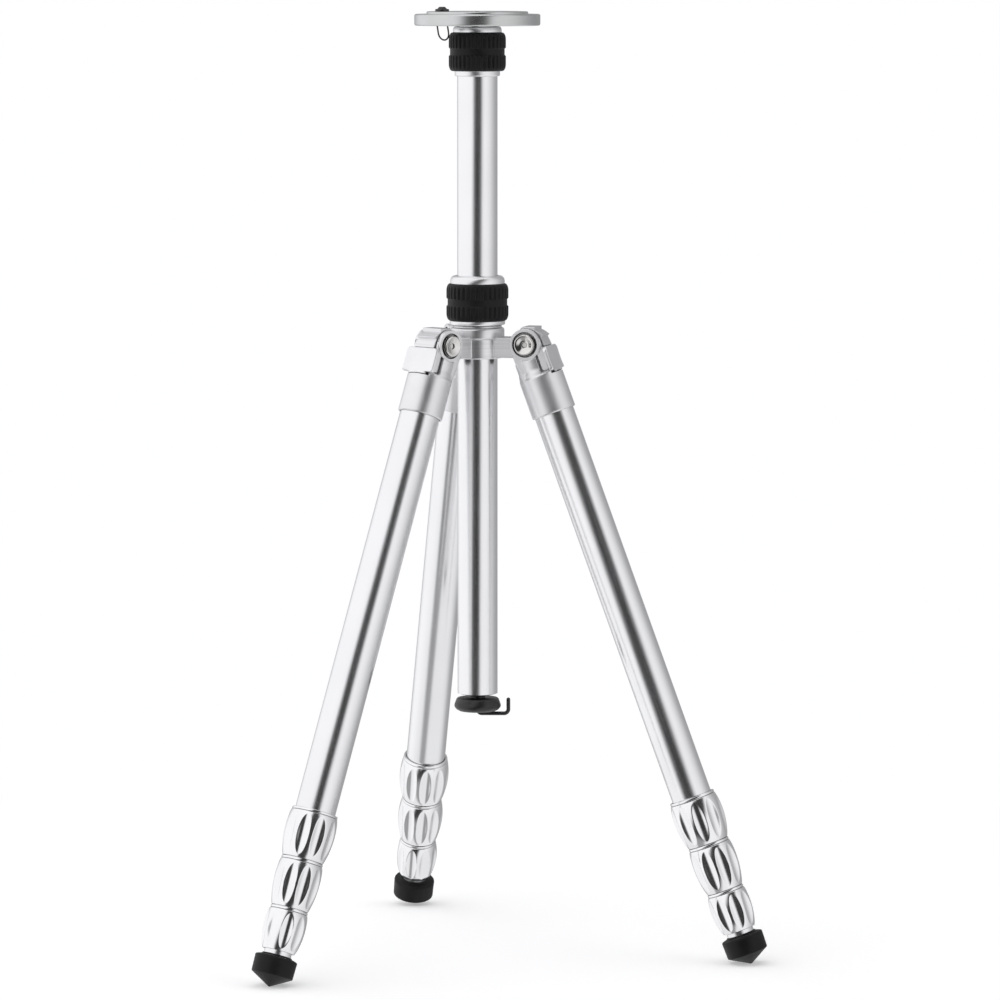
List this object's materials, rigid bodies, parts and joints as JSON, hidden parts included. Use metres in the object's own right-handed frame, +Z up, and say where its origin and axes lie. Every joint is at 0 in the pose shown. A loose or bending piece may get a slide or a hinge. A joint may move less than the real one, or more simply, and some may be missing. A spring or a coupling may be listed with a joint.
{
  "type": "travel tripod",
  "caption": "Compact travel tripod with folding legs in twist-lock sections, a two-part centre column with grips, a round head plate with a captive screw, and a weight hook.",
  "frame": {"origin": "on the floor, in the middle of the bounding box's base", "axes": "+Z up along the centre column; the front legs point to -Y and the rear leg to +Y"},
  "size_m": [0.3648, 0.3198, 0.6614],
  "materials": {
    "tube_aluminium": "satin bead-blasted and clear anodised",
    "turned_aluminium": "bright turned and polished",
    "cast_aluminium": "satin silver",
    "latch_aluminium": "satin silver, smooth",
    "plate_aluminium": "matt grey anodised",
    "bolt_steel": "polished stainless steel",
    "grip_rubber": "moulded, satin",
    "foot_rubber": "moulded, satin",
    "black_metal": "black oxide",
    "black_plastic": "satin black",
    "nylon": "natural nylon"
  },
  "bodies": {
    "hub": {"hub": "cast_aluminium", "column_bush": "nylon"},
    "lower_column_lock": {"lower_lock_nut": "turned_aluminium", "lower_lock_grip": "grip_rubber"},
    "outer_column": {"outer_column": "tube_aluminium", "upper_column_bush": "nylon", "column_cap": "black_plastic"},
    "upper_column_lock": {"upper_lock_nut": "turned_aluminium", "upper_lock_grip": "grip_rubber"},
    "inner_column": {"inner_column": "tube_aluminium", "head_plate": "plate_aluminium", "plate_screw": "bolt_steel"},
    "captive_screw": {"captive_screw": "black_metal"},
    "screw_bail": {"screw_bail": "black_metal"},
    "weight_hook": {"weight_hook": "black_metal"},
    "front_left_leg": {"front_left_head": "cast_aluminium", "front_left_upper_tube": "tube_aluminium", "front_left_upper_collet": "nylon", "front_left_hinge_bolt": "bolt_steel", "front_left_hinge_nut": "bolt_steel"},
    "front_left_latch": {"front_left_latch": "latch_aluminium"},
    "front_left_upper_lock": {"front_left_upper_lock": "turned_aluminium"},
    "front_left_middle_section": {"front_left_middle_tube": "tube_aluminium", "front_left_middle_collet": "nylon"},
    "front_left_middle_lock": {"front_left_middle_lock": "turned_aluminium"},
    "front_left_lower_section": {"front_left_lower_tube": "tube_aluminium", "front_left_lower_collet": "nylon"},
    "front_left_lower_lock": {"front_left_lower_lock": "turned_aluminium"},
    "front_left_foot_section": {"front_left_foot_tube": "tube_aluminium", "front_left_foot": "foot_rubber"},
    "front_right_leg": {"front_right_head": "cast_aluminium", "front_right_upper_tube": "tube_aluminium", "front_right_upper_collet": "nylon", "front_right_hinge_bolt": "bolt_steel", "front_right_hinge_nut": "bolt_steel"},
    "front_right_latch": {"front_right_latch": "latch_aluminium"},
    "front_right_upper_lock": {"front_right_upper_lock": "turned_aluminium"},
    "front_right_middle_section": {"front_right_middle_tube": "tube_aluminium", "front_right_middle_collet": "nylon"},
    "front_right_middle_lock": {"front_right_middle_lock": "turned_aluminium"},
    "front_right_lower_section": {"front_right_lower_tube": "tube_aluminium", "front_right_lower_collet": "nylon"},
    "front_right_lower_lock": {"front_right_lower_lock": "turned_aluminium"},
    "front_right_foot_section": {"front_right_foot_tube": "tube_aluminium", "front_right_foot": "foot_rubber"},
    "rear_leg": {"rear_head": "cast_aluminium", "rear_upper_tube": "tube_aluminium", "rear_upper_collet": "nylon", "rear_hinge_bolt": "bolt_steel", "rear_hinge_nut": "bolt_steel"},
    "rear_latch": {"rear_latch": "latch_aluminium"},
    "rear_upper_lock": {"rear_upper_lock": "turned_aluminium"},
    "rear_middle_section": {"rear_middle_tube": "tube_aluminium", "rear_middle_collet": "nylon"},
    "rear_middle_lock": {"rear_middle_lock": "turned_aluminium"},
    "rear_lower_section": {"rear_lower_tube": "tube_aluminium", "rear_lower_collet": "nylon"},
    "rear_lower_lock": {"rear_lower_lock": "turned_aluminium"},
    "rear_foot_section": {"rear_foot_tube": "tube_aluminium", "rear_foot": "foot_rubber"}
  },
  "joints": [
    {"name": "lower_column_lock_turn", "type": "hinge", "parent": "hub", "child": "lower_column_lock", "pos_m": [0, -0.04926, 0.44102], "axis": [0, 0, 1], "range_deg": [0, 90]},
    {"name": "outer_column_slide", "type": "slide", "parent": "hub", "child": "outer_column", "axis": [0, 0, 1], "range_m": [-0.1382, 0.23]},
    {"name": "upper_column_lock_turn", "type": "hinge", "parent": "outer_column", "child": "upper_column_lock", "pos_m": [0, -0.04926, 0.61342], "axis": [0, 0, 1], "range_deg": [0, 90]},
    {"name": "inner_column_slide", "type": "slide", "parent": "outer_column", "child": "inner_column", "axis": [0, 0, 1], "range_m": [0, 0.2]},
    {"name": "captive_screw_turn", "type": "hinge", "parent": "inner_column", "child": "captive_screw", "pos_m": [-0.02742, -0.0587, 0.64832], "axis": [0, 0, 1], "continuous": true},
    {"name": "screw_bail_swing", "type": "hinge", "parent": "captive_screw", "child": "screw_bail", "pos_m": [-0.02742, -0.0587, 0.64952], "axis": [0.866, 0.5, 0], "range_deg": [-58, 82]},
    {"name": "weight_hook_turn", "type": "hinge", "parent": "outer_column", "child": "weight_hook", "pos_m": [0, -0.04926, 0.17002], "axis": [0, 0, 1], "continuous": true},
    {"name": "front_left_leg_fold", "type": "hinge", "parent": "hub", "child": "front_left_leg", "pos_m": [-0.03248, -0.06801, 0.42832], "axis": [-0.5, 0.866, 0], "range_deg": [-20.5, 0]},
    {"name": "front_left_latch_pull", "type": "slide", "parent": "front_left_leg", "child": "front_left_latch", "axis": [-0.8112, -0.4683, 0.3502], "range_m": [0, 0.0055], "stiffness_N_per_m": 1000, "springref_m": -0.004},
    {"name": "front_left_upper_lock_turn", "type": "hinge", "parent": "front_left_leg", "child": "front_left_upper_lock", "pos_m": [-0.03248, -0.06801, 0.42832], "axis": [-0.3033, -0.1751, -0.9367], "range_deg": [0, 90]},
    {"name": "front_left_middle_section_slide", "type": "slide", "parent": "front_left_leg", "child": "front_left_middle_section", "axis": [-0.3033, -0.1751, -0.9367], "range_m": [0, 0.25]},
    {"name": "front_left_middle_lock_turn", "type": "hinge", "parent": "front_left_middle_section", "child": "front_left_middle_lock", "pos_m": [-0.03248, -0.06801, 0.42832], "axis": [-0.3033, -0.1751, -0.9367], "range_deg": [0, 90]},
    {"name": "front_left_lower_section_slide", "type": "slide", "parent": "front_left_middle_section", "child": "front_left_lower_section", "axis": [-0.3033, -0.1751, -0.9367], "range_m": [0, 0.25]},
    {"name": "front_left_lower_lock_turn", "type": "hinge", "parent": "front_left_lower_section", "child": "front_left_lower_lock", "pos_m": [-0.03248, -0.06801, 0.42832], "axis": [-0.3033, -0.1751, -0.9367], "range_deg": [0, 90]},
    {"name": "front_left_foot_section_slide", "type": "slide", "parent": "front_left_lower_section", "child": "front_left_foot_section", "axis": [-0.3033, -0.1751, -0.9367], "range_m": [0, 0.25]},
    {"name": "front_right_leg_fold", "type": "hinge", "parent": "hub", "child": "front_right_leg", "pos_m": [0.03248, -0.06801, 0.42832], "axis": [-0.5, -0.866, 0], "range_deg": [-20.5, 0]},
    {"name": "front_right_latch_pull", "type": "slide", "parent": "front_right_leg", "child": "front_right_latch", "axis": [0.8112, -0.4683, 0.3502], "range_m": [0, 0.0055], "stiffness_N_per_m": 1000, "springref_m": -0.004},
    {"name": "front_right_upper_lock_turn", "type": "hinge", "parent": "front_right_leg", "child": "front_right_upper_lock", "pos_m": [0.03248, -0.06801, 0.42832], "axis": [0.3033, -0.1751, -0.9367], "range_deg": [0, 90]},
    {"name": "front_right_middle_section_slide", "type": "slide", "parent": "front_right_leg", "child": "front_right_middle_section", "axis": [0.3033, -0.1751, -0.9367], "range_m": [0, 0.25]},
    {"name": "front_right_middle_lock_turn", "type": "hinge", "parent": "front_right_middle_section", "child": "front_right_middle_lock", "pos_m": [0.03248, -0.06801, 0.42832], "axis": [0.3033, -0.1751, -0.9367], "range_deg": [0, 90]},
    {"name": "front_right_lower_section_slide", "type": "slide", "parent": "front_right_middle_section", "child": "front_right_lower_section", "axis": [0.3033, -0.1751, -0.9367], "range_m": [0, 0.25]},
    {"name": "front_right_lower_lock_turn", "type": "hinge", "parent": "front_right_lower_section", "child": "front_right_lower_lock", "pos_m": [0.03248, -0.06801, 0.42832], "axis": [0.3033, -0.1751, -0.9367], "range_deg": [0, 90]},
    {"name": "front_right_foot_section_slide", "type": "slide", "parent": "front_right_lower_section", "child": "front_right_foot_section", "axis": [0.3033, -0.1751, -0.9367], "range_m": [0, 0.25]},
    {"name": "rear_leg_fold", "type": "hinge", "parent": "hub", "child": "rear_leg", "pos_m": [0, -0.01176, 0.42832], "axis": [1, 0, 0], "range_deg": [-20.5, 0]},
    {"name": "rear_latch_pull", "type": "slide", "parent": "rear_leg", "child": "rear_latch", "axis": [0, 0.9367, 0.3502], "range_m": [0, 0.0055], "stiffness_N_per_m": 1000, "springref_m": -0.004},
    {"name": "rear_upper_lock_turn", "type": "hinge", "parent": "rear_leg", "child": "rear_upper_lock", "pos_m": [0, -0.01176, 0.42832], "axis": [0, 0.3502, -0.9367], "range_deg": [0, 90]},
    {"name": "rear_middle_section_slide", "type": "slide", "parent": "rear_leg", "child": "rear_middle_section", "axis": [0, 0.3502, -0.9367], "range_m": [0, 0.25]},
    {"name": "rear_middle_lock_turn", "type": "hinge", "parent": "rear_middle_section", "child": "rear_middle_lock", "pos_m": [0, -0.01176, 0.42832], "axis": [0, 0.3502, -0.9367], "range_deg": [0, 90]},
    {"name": "rear_lower_section_slide", "type": "slide", "parent": "rear_middle_section", "child": "rear_lower_section", "axis": [0, 0.3502, -0.9367], "range_m": [0, 0.25]},
    {"name": "rear_lower_lock_turn", "type": "hinge", "parent": "rear_lower_section", "child": "rear_lower_lock", "pos_m": [0, -0.01176, 0.42832], "axis": [0, 0.3502, -0.9367], "range_deg": [0, 90]},
    {"name": "rear_foot_section_slide", "type": "slide", "parent": "rear_lower_section", "child": "rear_foot_section", "axis": [0, 0.3502, -0.9367], "range_m": [0, 0.25]}
  ]
}
